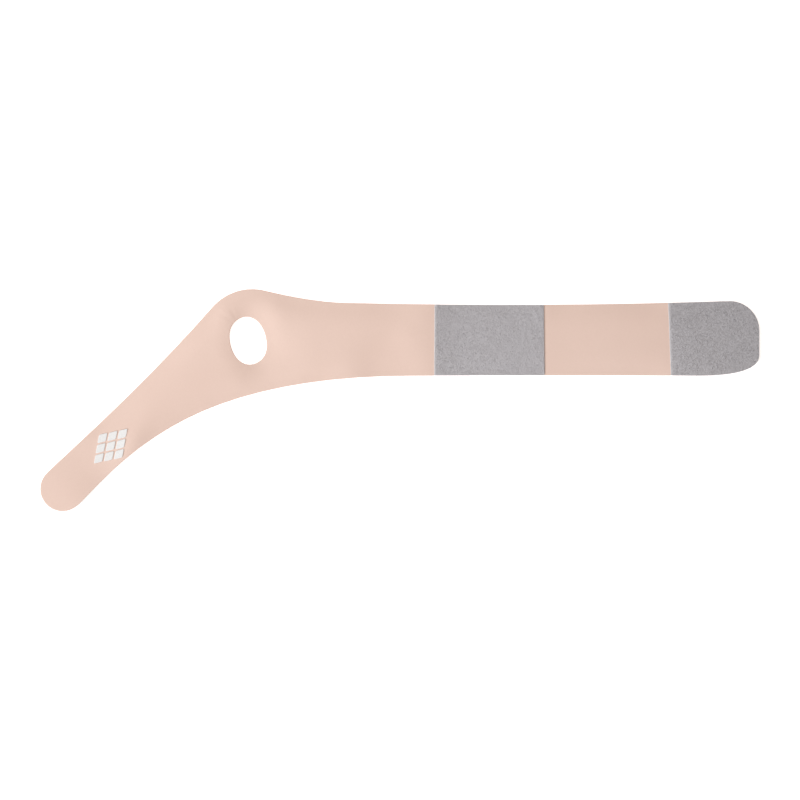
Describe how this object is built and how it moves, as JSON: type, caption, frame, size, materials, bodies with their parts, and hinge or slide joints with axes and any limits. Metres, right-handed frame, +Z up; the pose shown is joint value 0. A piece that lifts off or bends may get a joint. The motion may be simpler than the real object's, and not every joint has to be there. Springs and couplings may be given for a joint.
{
  "type": "thumb-hole wrist brace",
  "caption": "Flat elastic wrist wrap with an oval thumb hole, a long strap with grey loop patches, a narrow tail and hook patches underneath.",
  "frame": {"origin": "middle of the footprint, on the surface that the brace lies on", "axes": "+X along the strap towards its rounded end, +Y across it towards the hump over the thumb hole, +Z up, out of the outer face"},
  "size_m": [0.4316, 0.1334, 0.0042],
  "materials": {
    "wrap_fabric": "smooth matt nude-pink knit, laminated, with clean cut edges",
    "loop_pile": "grey brushed loop pile",
    "hook_tape": "grey moulded hook tape",
    "raised_print": "satin white raised silicone print"
  },
  "bodies": {
    "root": {"wrap_body": "wrap_fabric", "middle_loop_patch": "loop_pile", "end_loop_patch": "loop_pile", "end_hook_patch": "hook_tape", "tail_hook_patch": "hook_tape", "print_lozenge_1": "raised_print", "print_lozenge_2": "raised_print", "print_lozenge_3": "raised_print", "print_lozenge_4": "raised_print", "print_lozenge_5": "raised_print", "print_lozenge_6": "raised_print", "print_lozenge_7": "raised_print", "print_lozenge_8": "raised_print", "print_lozenge_9": "raised_print"}
  },
  "joints": []
}
